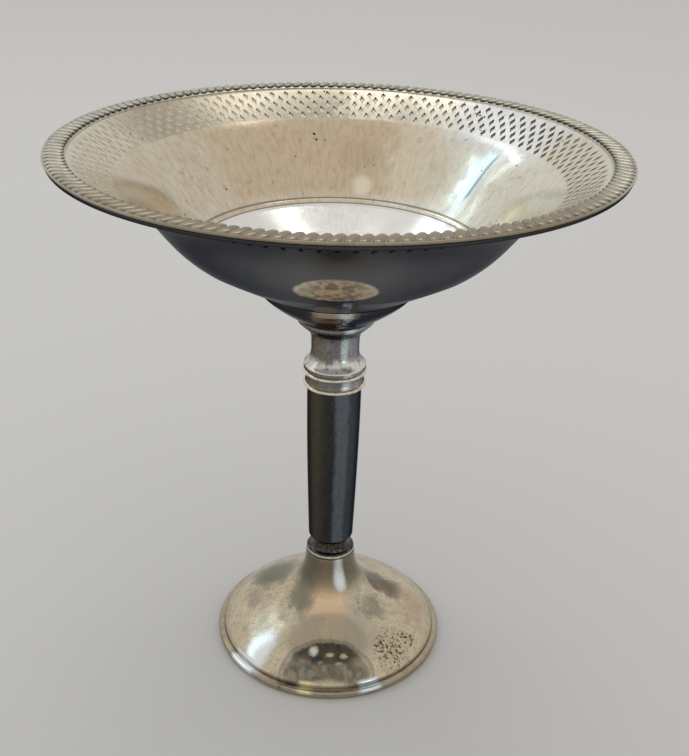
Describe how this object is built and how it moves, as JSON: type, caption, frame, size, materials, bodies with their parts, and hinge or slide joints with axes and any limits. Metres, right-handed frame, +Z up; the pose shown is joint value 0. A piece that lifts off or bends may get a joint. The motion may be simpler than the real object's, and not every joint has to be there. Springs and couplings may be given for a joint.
{
  "type": "footed compote bowl",
  "caption": "Silver compote: a wide bowl with a pierced band and a gadroon border on a tapered stem with a ringed collar and a weighted round foot.",
  "frame": {"origin": "middle of the foot's underside, on the surface that the bowl stands on", "axes": "+Z up along the stem"},
  "size_m": [0.152, 0.152, 0.1589],
  "materials": {
    "silver_inside": "worn polish with a warm brown tarnish film, fine pits and hairline scratches",
    "silver_border": "bright lobes with dark tarnish in the valleys",
    "silver_under": "dark even tarnish over a smooth polish",
    "silver_rings": "bright rubbed edges, tarnish in the hollows",
    "silver_column": "dark brown and grey tarnish over a smooth polish",
    "silver_foot": "warm polish with grey and brown stains and a patch of black pits",
    "brass_boss": "machined",
    "steel": "plain machined steel",
    "pitch": "dark cast filling",
    "cement": "rough cast cement",
    "felt": "short green felt"
  },
  "bodies": {
    "root": {"bowl": "silver_inside", "gadroon_border": "silver_border", "bell_cup": "silver_under", "stem_boss": "brass_boss", "neck_spool": "silver_under", "collar_upper_ring": "silver_rings", "collar_sleeve": "silver_rings", "collar_lower_ring": "silver_rings", "column_tube": "silver_column", "column_filler": "pitch", "base_bead": "silver_rings", "foot_shell": "silver_foot", "foot_edge_band": "silver_foot", "foot_weight": "cement", "steel_rod": "steel", "rod_washer": "steel", "rod_nut": "steel", "base_disc": "steel", "felt_pad": "felt"}
  },
  "joints": []
}
